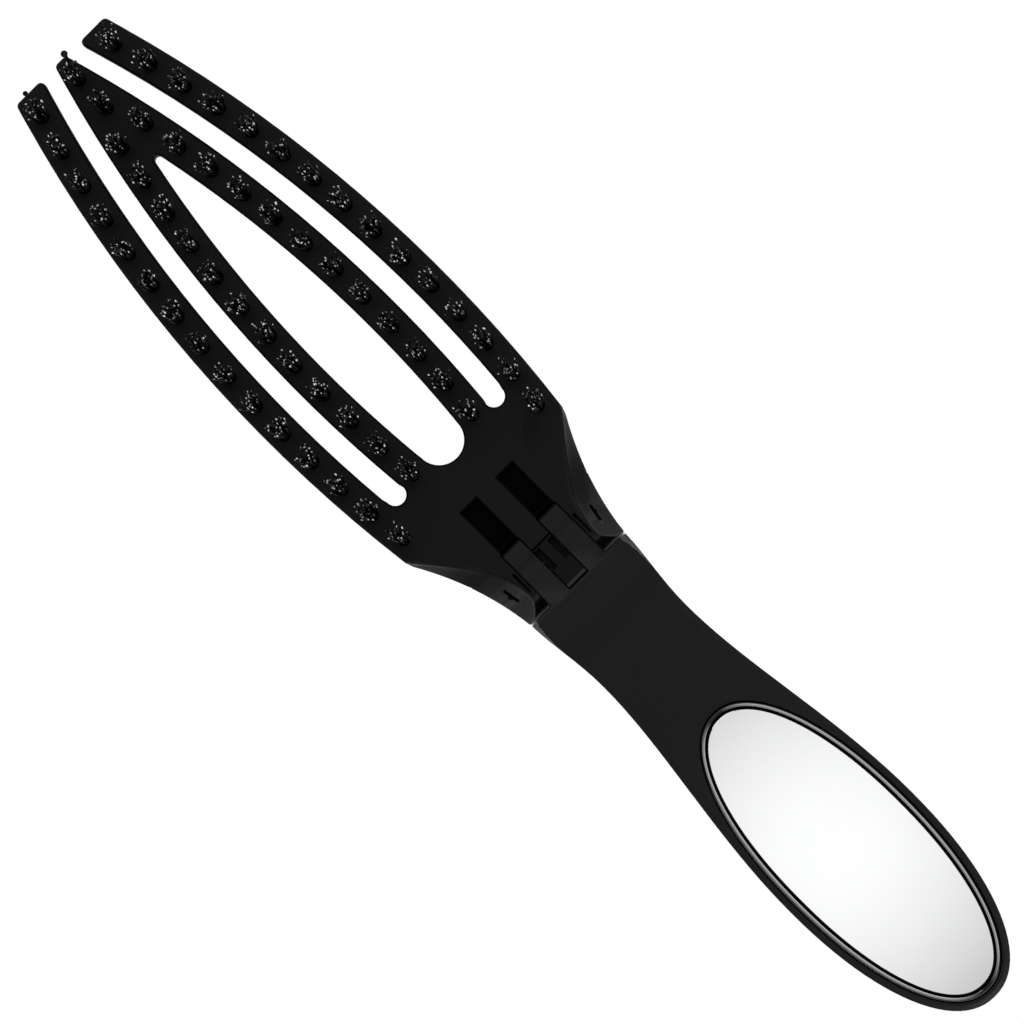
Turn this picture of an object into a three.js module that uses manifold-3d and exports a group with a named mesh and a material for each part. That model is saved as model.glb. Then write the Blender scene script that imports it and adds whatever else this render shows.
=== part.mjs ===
// Folding hair grooming brush, opened out flat and lying on its back.
// Millimetres: X across the brush, Y along it with the bristle head at +Y, Z up out of the bristle side.
// Each piece is drawn from the hinge axis, then the whole brush is set down with its box centred on Z = 0.

import * as THREE from 'three';
import { mergeVertices } from 'three/addons/utils/BufferGeometryUtils.js';
import Module from 'manifold-3d';

const wasm = await Module();
wasm.setup();

// Driving dimensions: overall
const head_length = 111.9;
const handle_length = 99.8;
const plate_thickness = 4.4;
const back_offset = 0.4;
const barrel_radius = 5.4;
const edge_bevel = 0.35;
const back_bevel = 0.5;

// Clearances
const running_gap = 0.3;
const fixed_gap = 0.3;
const shoulder_gap = 0.4;

// Head: widths at the belly and at the tips
const head_half_width = 19.6;
const finger_width = 5.55;
const side_slot_width = 3.45;
const centre_limb_width = 5.55;
const finger_belly_y = 45.3;
const centre_belly_y = 46.5;
const finger_end_setback = 0.05;
const finger_end_outer = 10.0;
const finger_end_width = 5.9;
const centre_tip_half_width = 1.2;
const tip_corner_radius = 0.85;
const slot_end_y = 22.7;
const vent_start_y = 21.7;
const vent_end_setback = 22.2;
const vent_tip_half_width = 0.65;

// Neck of the head, between its shoulders and the hinge
const shoulder_y = 15.1;
const neck_hinge_half_width = 10.65;
const neck_waist = { x: 11.69, y: 4.85 };
const side_draft = Math.tan(THREE.MathUtils.degToRad(21.6));
const side_band_slope = 0.34;
const side_band_start_y = 16;

// Interleaved hinge
const tongue_half_width = 1.95;
const lobe_root = 2;
const lobe_inner_x = 2.2;
const lobe_outer_x = 6.0;
const ear_inner_x = 6.25;
const window_inner_x = 2.05;
const window_outer_x = 6.0;
const window_end_y = 15.2;
const pin_radius = 1.5;
const pin_half_length = 7.5;
const knock_out_radius = 0.5;
const bush_wall = 0.8;
const relief_length = 4.1;
const relief_wall = 0.35;
const relief_width = 0.5;
const relief_depth = 2.2;

// Cover behind the windows, and the detent springs in them
const cover_thickness = 1.0;
const cover_half_width = 8;
const cover_margin = 1.8;
const spring_thickness = 0.4;
const spring_side_gap = 0.3;
const spring_finger_height = 2.6;

// Release tab
const tab_root_y = 2.5;
const tab_root_length = 0.3;
const tab_rib_half_width = 0.9;
const tab_pad_start_y = -1.9;
const tab_end_y = -5.2;
const tab_thickness = 1.4;
const tab_travel_room = 1.2;

// Bristle tufts
const strip_thickness = 1.2;
const finger_rows = 15;
const centre_rows = 14;
const single_centre_rows = 2;
const first_row_setback = 4.3;
const last_row_y = 18.6;
const bristle_height = 11;
const pin_bristle_height = 12;
const bristles_per_tuft = 7;
const tuft_base_radius = 0.8;
const tuft_tip_radius = 1.5;
const bristle_radius = 0.17;
const bristle_tip_radius = 0.1;
const pin_bristle_radius = 0.24;
const ball_radius = 0.4;
const root_depth = 0.5;
const strip_end_margin = 1.6;

// Handle
const handle_hinge_half_width = 10.75;
const handle_waist_half_width = 9.3;
const handle_waist_y = -21;
const handle_belly_half_width = 13.62;
const handle_belly_y = -67.35;
const handle_thickness = 7.2;
const handle_ramp_start_y = -6.6;
const handle_ramp_end_y = -21.5;
const end_roundness = 2.18;
const mirror_roundness = 2.15;
const handle_bevel = 0.8;
const handle_back_bevel = 0.6;
const hinge_draft = 0.3;
const hinge_draft_end_y = -14;
const web_gap = 0.9;
const split_height = 2.0;
const shell_wall = 1.7;
const lobe_wall = 6.6;
const floor_thickness = 1.2;
const peg_radius = 1.2;
const peg_wall = 1.1;
const peg_setback = 2;
const peg_end_margin = 8;

// Mirror
const mirror_half_length = 29.75;
const mirror_half_width = 11.13;
const mirror_thickness = 1.8;
const mirror_edge_bevel = 0.4;
const mirror_sink = 0.3;
const adhesive_thickness = 0.5;
const adhesive_margin = 1.5;
const bezel_width = 0.8;
const bezel_bead_width = 0.3;
const bezel_bead_height = 0.35;
const bezel_sink = 0.2;

// Worked-out places, from the hinge axis
const plate_top = back_offset + plate_thickness;
const handle_front = back_offset + handle_thickness;
const lobe_nose_y = barrel_radius;
const pocket_floor = handle_front - mirror_sink - mirror_thickness - adhesive_thickness;
const split_z = back_offset + split_height;
const vent_end_y = head_length - vent_end_setback;
const first_row_y = head_length - first_row_setback;
const far = 200;
const hinge_place = { y: (handle_length - head_length) / 2, z: barrel_radius };

// Turns a closed three.js geometry into a solid that can be joined and cut
function solid(geometry) {
  const bare = geometry.index ? geometry.clone() : geometry;
  bare.deleteAttribute('normal');
  bare.deleteAttribute('uv');
  const merged = mergeVertices(bare, 1e-5);
  return new wasm.Manifold(new wasm.Mesh({
    numProp: 3,
    vertProperties: new Float32Array(merged.attributes.position.array),
    triVerts: new Uint32Array(merged.index.array),
  }));
}

function piece(name, shape, material) {
  const mesh = shape.getMesh();
  const geometry = new THREE.BufferGeometry();
  geometry.setAttribute('position', new THREE.BufferAttribute(mesh.vertProperties, mesh.numProp));
  geometry.setIndex(new THREE.BufferAttribute(mesh.triVerts, 1));
  geometry.computeVertexNormals();
  const result = new THREE.Mesh(geometry, material);
  result.name = name;
  return result;
}

// Triangles that fill a flat outline and use every one of its points, so that walls and caps share corners
function fill(outline) {
  const side = (a, b, c) => (b.x - a.x) * (c.y - a.y) - (b.y - a.y) * (c.x - a.x);
  const holds = (a, b, c, p) => side(a, b, p) >= 0 && side(b, c, p) >= 0 && side(c, a, p) >= 0;
  const left = outline.map((unused, i) => i);
  const triangles = [];
  let at = 0;
  while (left.length > 3) {
    const corner = (step) => left[(at + step) % left.length];
    let tries = 0;
    for (; tries < left.length; tries += 1) {
      const [a, b, c] = [corner(0), corner(1), corner(2)].map((i) => outline[i]);
      const others = left.filter((i) => ![a, b, c].includes(outline[i]));
      if (side(a, b, c) > 1e-9 && !others.some((i) => holds(a, b, c, outline[i]))) break;
      at += 1;
    }
    triangles.push([corner(0), corner(1), corner(2)]);
    left.splice((at + 1) % left.length, 1);
    at = (at + 1) % left.length;
  }
  triangles.push([...left]);
  return triangles;
}

// A closed skin through rings of points that all have the same count, with flat caps on the first and last
function skin(rings) {
  const count = rings[0].length;
  const positions = rings.flat().flatMap((point) => [point.x, point.y, point.z]);
  const triangles = [];
  for (let ring = 0; ring + 1 < rings.length; ring += 1) {
    for (let i = 0; i < count; i += 1) {
      const next = (i + 1) % count;
      const low = ring * count;
      const high = low + count;
      triangles.push(low + i, low + next, high + next, low + i, high + next, high + i);
    }
  }
  const last = (rings.length - 1) * count;
  for (const [a, b, c] of fill(rings[0])) triangles.push(c, b, a);
  for (const [a, b, c] of fill(rings.at(-1))) triangles.push(last + a, last + b, last + c);
  const geometry = new THREE.BufferGeometry();
  geometry.setAttribute('position', new THREE.Float32BufferAttribute(positions, 3));
  geometry.setIndex(triangles);
  return solid(geometry);
}

// A flat outline, counter-clockwise, set at one height
function at_height(outline, z) {
  return outline.map((point) => new THREE.Vector3(point.x, point.y, z));
}

function upright(outline, low, high) {
  return skin([at_height(outline, low), at_height(outline, high)]);
}

// A side profile of points (y, z), counter-clockwise seen from +X, run from x0 to x1
function across(profile, x0, x1) {
  const shape = new THREE.Shape(profile.map(([y, z]) => new THREE.Vector2(y, z)));
  const geometry = new THREE.ExtrudeGeometry(shape, { depth: x1 - x0, bevelEnabled: false });
  const turn = new THREE.Matrix4().set(0, 0, 1, x0, 1, 0, 0, 0, 0, 1, 0, 0, 0, 0, 0, 1);
  return solid(geometry.applyMatrix4(turn));
}

function block(x0, x1, y0, y1, z0, z1) {
  const geometry = new THREE.BoxGeometry(x1 - x0, y1 - y0, z1 - z0);
  return solid(geometry.translate((x0 + x1) / 2, (y0 + y1) / 2, (z0 + z1) / 2));
}

// The same block on both sides of the brush
function block_pair(x0, x1, y0, y1, z0, z1) {
  return block(x0, x1, y0, y1, z0, z1).add(block(-x1, -x0, y0, y1, z0, z1));
}

function rod_along_x(radius, x0, x1, sides = 40) {
  const geometry = new THREE.CylinderGeometry(radius, radius, x1 - x0, sides);
  return solid(geometry.rotateZ(Math.PI / 2).translate((x0 + x1) / 2, 0, 0));
}

function post(radius, x, y, z0, z1, sides = 24) {
  const geometry = new THREE.CylinderGeometry(radius, radius, z1 - z0, sides);
  return solid(geometry.rotateX(Math.PI / 2).translate(x, y, (z0 + z1) / 2));
}

function arc(cx, cy, radius, from, to, steps) {
  return Array.from({ length: steps + 1 }, (unused, i) => {
    const angle = from + ((to - from) * i) / steps;
    return [cx + radius * Math.cos(angle), cy + radius * Math.sin(angle)];
  });
}

// Values from first to last in equal steps
function steps_between(first, last, count) {
  return Array.from({ length: count + 1 }, (unused, i) => first + ((last - first) * i) / count);
}

// A bowed edge: a circle that is widest at belly_y and has come in to narrow at end_y
function bowed(widest, belly_y, narrow, end_y) {
  const sag = widest - narrow;
  const run = end_y - belly_y;
  const radius = (run * run + sag * sag) / (2 * sag);
  return (y) => widest - radius + Math.sqrt(radius * radius - (y - belly_y) ** 2);
}

// The arc that rounds the corner between two straight runs
function rounded_corner(before, corner, after, radius, steps = 5) {
  const point = new THREE.Vector2(...corner);
  const back = new THREE.Vector2(...before).sub(point).normalize();
  const on = new THREE.Vector2(...after).sub(point).normalize();
  const half = Math.acos(THREE.MathUtils.clamp(back.dot(on), -1, 1)) / 2;
  const reach = radius / Math.tan(half);
  const start = point.clone().addScaledVector(back, reach);
  const end = point.clone().addScaledVector(on, reach);
  const middle = back.clone().add(on).normalize().multiplyScalar(radius / Math.sin(half)).add(point);
  const from = start.clone().sub(middle).angle();
  let turn = end.clone().sub(middle).angle() - from;
  if (turn > Math.PI) turn -= 2 * Math.PI;
  if (turn < -Math.PI) turn += 2 * Math.PI;
  return arc(middle.x, middle.y, radius, from, from + turn, steps);
}

// Right half of an outline, bottom to top, joined to its mirror image
function both_sides(right) {
  const left = right.filter(([x]) => x > 1e-6).reverse().map(([x, y]) => [-x, y]);
  return [...right, ...left].map(([x, y]) => new THREE.Vector2(x, y));
}

// Every point of a closed outline moved in by one distance (a negative one moves it out)
function inset(outline, distance) {
  return outline.map((point, i) => {
    const before = outline.at(i - 1);
    const after = outline[(i + 1) % outline.length];
    const a = point.clone().sub(before).normalize();
    const b = after.clone().sub(point).normalize();
    const inward = new THREE.Vector2(-(a.y + b.y), a.x + b.x).normalize();
    const stretch = Math.min(2, 1 / Math.max(0.3, Math.sqrt((1 + a.dot(b)) / 2)));
    return point.clone().addScaledVector(inward, distance * stretch);
  });
}

// The mirror's oval, of the given half sizes and a little fuller than an ellipse
function oval(half_width, half_length, centre_y, sides = 72) {
  return Array.from({ length: sides }, (unused, i) => {
    const angle = (2 * Math.PI * i) / sides;
    const c = Math.cos(angle);
    const s = Math.sin(angle);
    const power = 2 / mirror_roundness;
    return new THREE.Vector2(
      half_width * Math.sign(c) * Math.abs(c) ** power,
      centre_y + half_length * Math.sign(s) * Math.abs(s) ** power,
    );
  });
}

const finger_end_y = head_length - finger_end_setback;
const finger_inner_bow = head_half_width - finger_width;
const centre_outer_bow = finger_inner_bow - side_slot_width;
const vent_bow = centre_outer_bow - centre_limb_width;
const finger_outer_edge = bowed(head_half_width, finger_belly_y, finger_end_outer, finger_end_y);
const finger_inner_edge = bowed(
  finger_inner_bow,
  finger_belly_y,
  finger_end_outer - finger_end_width,
  finger_end_y,
);
const centre_outer_edge = bowed(centre_outer_bow, centre_belly_y, centre_tip_half_width, head_length);
const vent_edge = bowed(vent_bow, centre_belly_y, vent_tip_half_width, vent_end_y);

// Neck: seen from above it flares from the hinge to the shoulders; its sides slope out below a ridge
function neck_silhouette(y) {
  const low = -barrel_radius;
  const along = (y - low) / (shoulder_y - low);
  const shoulder = finger_outer_edge(shoulder_y);
  const straight = THREE.MathUtils.lerp(neck_hinge_half_width, shoulder, along);
  const bend = neck_waist.x - (neck_hinge_half_width + shoulder) / 2;
  return straight + 2 * along * (1 - along) * bend;
}

// Width of the sloping side seen from above: it fades out at the shoulders
function side_band(y) {
  const fading = side_band_slope * (side_band_start_y - y);
  return Math.max(0, Math.min(fading, side_draft * wall_height(Math.min(y, 0))));
}

function wall_height(y) {
  if (Math.abs(y) >= barrel_radius) return plate_thickness;
  return plate_top + Math.sqrt(barrel_radius ** 2 - y ** 2);
}

function neck_ridge(y) {
  return neck_silhouette(y) - side_band(y);
}

// Height over which the side slopes out: all of the ear, and only the plate above its back bevel past it
function sloped_height(y) {
  const full = plate_top + barrel_radius;
  const blend = THREE.MathUtils.smoothstep(y, -barrel_radius / 2, barrel_radius);
  const above_bevel = plate_thickness - back_bevel;
  return Math.min(wall_height(Math.min(y, 0)), THREE.MathUtils.lerp(full, above_bevel, blend));
}

// Where the slope would meet the foot of the ears; the silhouette trims it
function neck_foot(y) {
  return neck_ridge(y) + (side_band(y) / sloped_height(y)) * (plate_top + barrel_radius);
}

function head_outline(neck_edge) {
  const past_barrel = -barrel_radius - 0.6;
  const neck_ys = [past_barrel, ...steps_between(-barrel_radius + 0.4, shoulder_y - 0.6, 14)];
  const neck = neck_ys.map((y) => [neck_edge(y), y]);
  const outer = steps_between(shoulder_y + 0.6, finger_end_y - 3, 18).map((y) => [finger_outer_edge(y), y]);
  const finger_corners = [
    [finger_outer_edge(finger_end_y), finger_end_y],
    [finger_inner_edge(finger_end_y), finger_end_y],
  ];
  const below = finger_end_y - 2;
  const finger_end = [
    ...rounded_corner([finger_outer_edge(below), below], ...finger_corners, tip_corner_radius),
    ...rounded_corner(...finger_corners, [finger_inner_edge(below), below], tip_corner_radius),
  ];
  const slot_radius = (finger_inner_edge(slot_end_y) - centre_outer_edge(slot_end_y)) / 2;
  const slot_x = slot_centre(slot_end_y);
  const slot_round_y = slot_end_y + slot_radius;
  const slot_ys = steps_between(finger_end_y - 3, slot_round_y + 1, 18);
  const slot_inner = slot_ys.map((y) => [finger_inner_edge(y), y]);
  const slot_end = arc(slot_x, slot_round_y, slot_radius, 0, -Math.PI, 12);
  const centre = steps_between(slot_round_y + 1, head_length - 3, 18).map((y) => [centre_outer_edge(y), y]);
  const tip = rounded_corner(
    [centre_outer_edge(head_length - 2), head_length - 2],
    [centre_outer_edge(head_length), head_length],
    [0, head_length],
    tip_corner_radius,
  );
  return both_sides([...neck, ...outer, ...finger_end, ...slot_inner, ...slot_end, ...centre, ...tip]);
}

function vent_outline() {
  const radius = vent_edge(vent_start_y + 4) - 0.02;
  const round_y = vent_start_y + radius;
  const low = arc(0, round_y, radius, -Math.PI / 2, 0, 10);
  const sides = steps_between(round_y + 1, vent_end_y - 0.5, 18).map((y) => [vent_edge(y), y]);
  const high = arc(0, vent_end_y - 0.2, vent_edge(vent_end_y - 0.2), 0, Math.PI / 2, 4).slice(1);
  return both_sides([...low, ...sides, ...high]);
}

// The whole head before its strips of bristle are parted from it
function head_blank() {
  const top = head_outline(neck_ridge);
  const foot = head_outline(neck_foot);
  const outline_at = (z) => {
    const level = (z + barrel_radius) / (plate_top + barrel_radius);
    return foot.map((point, i) => point.clone().lerp(top[i], level));
  };
  const ring = (z, moved_in = 0) => at_height(inset(outline_at(z), moved_in), z);
  const silhouette = upright(head_outline(neck_silhouette), -barrel_radius - 1, plate_top + 1);
  const plate = skin([
    ring(back_offset, back_bevel),
    ring(back_offset + back_bevel),
    ring(plate_top - edge_bevel),
    ring(plate_top, edge_bevel),
  ]).subtract(block(-far, far, -far, 0, -far, far));
  const barrel = skin([
    ring(-barrel_radius - 0.01),
    ring(plate_top - edge_bevel),
    ring(plate_top, edge_bevel),
  ]).intersect(rod_along_x(barrel_radius, -far, far, 72));
  const vent = vent_outline();
  const vent_cut = skin([
    at_height(inset(vent, -back_bevel), -barrel_radius),
    at_height(inset(vent, -back_bevel), back_offset),
    at_height(vent, back_offset + back_bevel),
    at_height(vent, plate_top - edge_bevel),
    at_height(inset(vent, -edge_bevel), plate_top),
    at_height(inset(vent, -edge_bevel), plate_top + 1),
  ]);
  return plate.add(barrel).intersect(silhouette).subtract(vent_cut);
}

function limb_centre(outer_edge, inner_edge, y) {
  return (outer_edge(y) + inner_edge(y)) / 2;
}

function row_y(row) {
  return THREE.MathUtils.lerp(first_row_y, last_row_y, row / (finger_rows - 1));
}

// Tuft centres on the right-hand side of the head
function finger_tufts() {
  return Array.from({ length: finger_rows }, (unused, row) => ({
    x: limb_centre(finger_outer_edge, finger_inner_edge, row_y(row)),
    y: row_y(row),
  }));
}

function centre_tufts() {
  return Array.from({ length: centre_rows }, (unused, row) => {
    const y = row_y(row);
    const inner = y < vent_end_y ? vent_edge(y) : 0;
    const beside = Math.max(limb_centre(centre_outer_edge, () => inner, y), tuft_base_radius * 2.3);
    return { x: row < single_centre_rows ? 0 : beside, y };
  });
}

// One strand: a thin tapering spike of few sides from its root to its tip, with rings set by [part, radius]
function strand(root, tip, rings, sides, turn) {
  const along = tip.clone().sub(root);
  return rings.map(([part, radius]) => Array.from({ length: sides }, (unused, i) => {
    const angle = turn + (2 * Math.PI * i) / sides;
    const centre = root.clone().addScaledVector(along, part);
    const corner = new THREE.Vector3(Math.cos(angle), Math.sin(angle), 0);
    return centre.addScaledVector(corner, radius);
  }));
}

// The strands of one tuft: a ring of splayed bristles round one longer pin with a ball tip
function tuft_strands(centre, base_z, top_z) {
  const strands = [];
  for (let i = 0; i < bristles_per_tuft; i += 1) {
    const angle = (2 * Math.PI * i) / bristles_per_tuft;
    const shorter = 0.9 * Math.abs(Math.sin(2.7 * i + 0.31 * centre.y));
    const root = new THREE.Vector3(
      centre.x + tuft_base_radius * Math.cos(angle),
      centre.y + tuft_base_radius * Math.sin(angle),
      base_z - root_depth,
    );
    const tip = new THREE.Vector3(
      centre.x + tuft_tip_radius * Math.cos(angle),
      centre.y + tuft_tip_radius * Math.sin(angle),
      top_z + bristle_height - shorter,
    );
    strands.push(strand(root, tip, [[0, bristle_radius], [1, bristle_tip_radius]], 3, angle));
  }
  const pin_x = centre.x === 0 ? pin_bristle_radius + 0.1 : centre.x;
  const foot = new THREE.Vector3(pin_x, centre.y, base_z - root_depth);
  const head = new THREE.Vector3(pin_x, centre.y, top_z + pin_bristle_height);
  const length = head.z - foot.z;
  const ball = [1.9, 1, 0.1].map((down) => 1 - (down * ball_radius) / length);
  strands.push(strand(foot, head, [
    [0, pin_bristle_radius],
    [ball[0], pin_bristle_radius * 0.8],
    [ball[1], ball_radius],
    [1, ball_radius * 0.4],
  ], 4, Math.PI / 4));
  return strands;
}

function strands_solid(strands) {
  const positions = [];
  const triangles = [];
  for (const rings of strands) {
    const sides = rings[0].length;
    const first = positions.length / 3;
    const last = first + (rings.length - 1) * sides;
    positions.push(...rings.flat().flatMap((point) => [point.x, point.y, point.z]));
    for (let ring = 0; ring + 1 < rings.length; ring += 1) {
      for (let i = 0; i < sides; i += 1) {
        const low = first + ring * sides;
        const next = (i + 1) % sides;
        triangles.push(low + i, low + next, low + sides + next, low + i, low + sides + next, low + sides + i);
      }
    }
    for (let i = 1; i + 1 < sides; i += 1) {
      triangles.push(first, first + i + 1, first + i, last, last + i, last + i + 1);
    }
  }
  const geometry = new THREE.BufferGeometry();
  geometry.setAttribute('position', new THREE.Float32BufferAttribute(positions, 3));
  geometry.setIndex(triangles);
  return solid(geometry);
}

function slot_centre(y) {
  return (finger_inner_edge(y) + centre_outer_edge(y)) / 2;
}

// Where each strip of bristle parts from the frame: the top slice of one limb, up to the middle of the slot
function strip_zones() {
  const floor = plate_top - strip_thickness;
  const top = plate_top + 1;
  const past_tips = head_length + 1;
  const finger_foot = last_row_y - strip_end_margin;
  const centre_foot = row_y(centre_rows - 1) - strip_end_margin;
  const centre_inner = centre_tufts().at(-1).x - strip_end_margin - 0.4;
  const along_slot = (foot) => [foot, ...steps_between(slot_end_y + 6, past_tips, 12)]
    .map((y) => new THREE.Vector2(slot_centre(y), y));
  const centre_zone = [
    new THREE.Vector2(centre_inner, centre_foot),
    ...along_slot(centre_foot),
    new THREE.Vector2(0, past_tips),
    new THREE.Vector2(0, vent_end_y - 1),
  ];
  const finger_zone = [
    new THREE.Vector2(head_half_width + 1, finger_foot),
    new THREE.Vector2(head_half_width + 1, past_tips),
    ...along_slot(finger_foot).reverse(),
  ];
  return { centre: upright(centre_zone, floor, top), finger: upright(finger_zone, floor, top) };
}

function mirrored(shape) {
  return shape.mirror([1, 0, 0]);
}

function bristle_strip(blank, zone, tufts, side) {
  const floor = plate_top - strip_thickness;
  const slice = blank.intersect(side > 0 ? zone : mirrored(zone));
  const strands = tufts
    .flatMap((tuft) => tuft_strands({ x: tuft.x * side, y: tuft.y }, plate_top, plate_top))
    .filter((rings) => Math.sign(rings[0].reduce((sum, point) => sum + point.x, 0)) === side);
  return slice.add(strands_solid(strands));
}

function head_frame(blank, zones) {
  const far_back = -barrel_radius - 1;
  const bay_end = lobe_nose_y + running_gap;
  const tab_floor = plate_top - tab_thickness - tab_travel_room;
  const tab_bay = tongue_half_width + 0.05;
  const cover_start = cover_edge_y();
  const pin_seat = pin_half_length + 0.1;
  return blank
    .subtract(zones.finger.add(mirrored(zones.finger)))
    .subtract(zones.centre.add(mirrored(zones.centre)))
    .subtract(block_pair(tongue_half_width, ear_inner_x, far_back, bay_end, far_back, far))
    .subtract(block_pair(window_inner_x, window_outer_x, bay_end - 0.1, window_end_y, far_back, far))
    .subtract(block(
      -cover_half_width - fixed_gap,
      cover_half_width + fixed_gap,
      cover_start - fixed_gap,
      cover_far_y() + fixed_gap,
      far_back,
      back_offset + cover_thickness,
    ))
    .subtract(block(-tab_bay, tab_bay, far_back, tab_root_y + fixed_gap, tab_floor, far))
    .subtract(block_pair(
      ear_inner_x + relief_wall,
      ear_inner_x + relief_wall + relief_width,
      -relief_length / 2 + 0.15,
      relief_length / 2 + 0.15,
      plate_top - relief_depth,
      far,
    ))
    .subtract(rod_along_x(pin_radius + running_gap, -pin_seat, pin_seat))
    .subtract(rod_along_x(knock_out_radius, -far, far, 20));
}

function cover_edge_y() {
  return lobe_nose_y + 2 * running_gap;
}

function cover_far_y() {
  return window_end_y + cover_margin;
}

function neck_back_cover() {
  const low = back_offset;
  const corners = [
    [cover_half_width, cover_edge_y()],
    [cover_half_width, cover_far_y()],
  ];
  const outline = both_sides([
    [cover_half_width, cover_edge_y()],
    ...rounded_corner(corners[0], corners[1], [0, cover_far_y()], 1.2),
  ]);
  return upright(outline, low, low + cover_thickness);
}

// Leaf spring: a foot along the cover, then a finger that rises to bear on the flat nose of a knuckle
function detent_spring(side) {
  const foot_z = back_offset + cover_thickness;
  const bearing_y = lobe_nose_y + running_gap;
  const t = spring_thickness;
  const profile = [
    [window_end_y - spring_side_gap, foot_z],
    [window_end_y - spring_side_gap, foot_z + t],
    [bearing_y + 2.4, foot_z + t],
    [bearing_y + t + 0.15, foot_z + 1.3],
    [bearing_y + t, foot_z + 1.9],
    [bearing_y + t + 0.5, foot_z + spring_finger_height],
    [bearing_y + 0.45, foot_z + spring_finger_height + 0.15],
    [bearing_y, foot_z + 1.95],
    [bearing_y + 0.1, foot_z + 1.1],
    [bearing_y + 2.1, foot_z],
  ];
  const inner = window_inner_x + spring_side_gap;
  const outer = window_outer_x - spring_side_gap;
  return side > 0 ? across(profile, inner, outer) : across(profile, -outer, -inner);
}

function release_tab() {
  const low = plate_top - tab_thickness;
  const neck_end = tab_root_y - tab_root_length;
  const outline = both_sides([
    [tongue_half_width, tab_end_y],
    [tongue_half_width, tab_pad_start_y],
    [tab_rib_half_width, tab_pad_start_y],
    [tab_rib_half_width, neck_end],
    [tongue_half_width, neck_end],
    [tongue_half_width, tab_root_y],
  ]);
  return skin([
    at_height(outline, low),
    at_height(outline, plate_top - 0.2),
    at_height(inset(outline, 0.15), plate_top),
  ]);
}

function hinge_pin() {
  return rod_along_x(pin_radius, -pin_half_length, pin_half_length);
}

function hinge_bush(side) {
  const inner = pin_radius + running_gap;
  const x0 = side > 0 ? lobe_inner_x : -lobe_outer_x;
  const x1 = side > 0 ? lobe_outer_x : -lobe_inner_x;
  return rod_along_x(inner + bush_wall, x0, x1).subtract(rod_along_x(inner, x0 - 1, x1 + 1));
}

// Handle silhouette: a waist near the hinge, a belly at the mirror and a full round end
function handle_right_side() {
  const to_waist = new THREE.CubicBezierCurve(
    new THREE.Vector2(handle_hinge_half_width, -barrel_radius - shoulder_gap),
    new THREE.Vector2(handle_hinge_half_width - 0.3, -10.5),
    new THREE.Vector2(handle_waist_half_width, handle_waist_y + 6),
    new THREE.Vector2(handle_waist_half_width, handle_waist_y),
  );
  const to_belly = new THREE.CubicBezierCurve(
    new THREE.Vector2(handle_waist_half_width, handle_waist_y),
    new THREE.Vector2(handle_waist_half_width, handle_waist_y - 14),
    new THREE.Vector2(handle_belly_half_width, handle_belly_y + 17),
    new THREE.Vector2(handle_belly_half_width, handle_belly_y),
  );
  const end_length = handle_length + handle_belly_y;
  const power = 2 / end_roundness;
  const free_end = steps_between(0, Math.PI / 2, 24).slice(1).map((angle) => new THREE.Vector2(
    handle_belly_half_width * Math.max(0, Math.cos(angle)) ** power,
    handle_belly_y - end_length * Math.sin(angle) ** power,
  ));
  return [...to_waist.getPoints(8), ...to_belly.getPoints(20).slice(1), ...free_end];
}

function handle_outline() {
  const side = handle_right_side().reverse().map((point) => [point.x < 1e-6 ? 0 : point.x, point.y]);
  return both_sides(side);
}

// How far the side wall leans in per millimetre of height: strong at the hinge, gone past the waist
function handle_lean(y) {
  const hinge_end = -barrel_radius - shoulder_gap;
  const part = THREE.MathUtils.clamp((y - hinge_draft_end_y) / (hinge_end - hinge_draft_end_y), 0, 1);
  return hinge_draft * part * part;
}

function handle_ring(outline, z) {
  return outline.map((point) => {
    const shift = handle_lean(point.y) * (z - back_offset);
    return new THREE.Vector3(point.x - Math.sign(point.x) * shift, point.y, z);
  });
}

function handle_blank() {
  const outline = handle_outline();
  const body = skin([
    handle_ring(inset(outline, handle_back_bevel), back_offset),
    handle_ring(outline, back_offset + handle_back_bevel),
    handle_ring(outline, handle_front - handle_bevel),
    handle_ring(inset(outline, handle_bevel), handle_front),
  ]);
  const ramp_ease = (handle_ramp_start_y - handle_ramp_end_y) / 2;
  const ramp = new THREE.CubicBezierCurve(
    new THREE.Vector2(handle_ramp_end_y, handle_front),
    new THREE.Vector2(handle_ramp_end_y + ramp_ease, handle_front),
    new THREE.Vector2(handle_ramp_start_y - ramp_ease, plate_top),
    new THREE.Vector2(handle_ramp_start_y, plate_top),
  );
  const hinge_end = -barrel_radius - shoulder_gap;
  const side = [
    [-far, back_offset],
    [hinge_end, back_offset],
    [hinge_end, plate_top],
    ...ramp.getPoints(16).reverse().map((point) => [point.x, point.y]),
    [-far, handle_front],
  ];
  return body.intersect(across(side, -far, far));
}

// One knuckle of the handle: the round barrel with a flat nose towards the head
function lobe(x0, x1) {
  const reach = -barrel_radius - shoulder_gap - lobe_root;
  const meets = Math.asin(back_offset / barrel_radius);
  const crest = Math.asin(plate_top / barrel_radius);
  const profile = [
    [reach, back_offset],
    ...arc(0, 0, barrel_radius, Math.PI + -meets, 2 * Math.PI, 32),
    [lobe_nose_y, plate_top - edge_bevel],
    [lobe_nose_y - edge_bevel, plate_top],
    ...arc(0, 0, barrel_radius, crest, Math.PI - crest, 12),
    [reach, plate_top],
  ];
  return across(profile, x0, x1);
}

function handle_cavity() {
  const outline = inset(handle_outline(), shell_wall);
  const start = -barrel_radius - lobe_wall;
  return upright(outline, back_offset + floor_thickness, pocket_floor - floor_thickness)
    .subtract(block(-far, far, start, far, -far, far));
}

const peg_ys = [
  handle_waist_y + peg_setback,
  (handle_waist_y + handle_belly_y) / 2,
  handle_belly_y,
  -handle_length + peg_end_margin,
];

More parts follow.
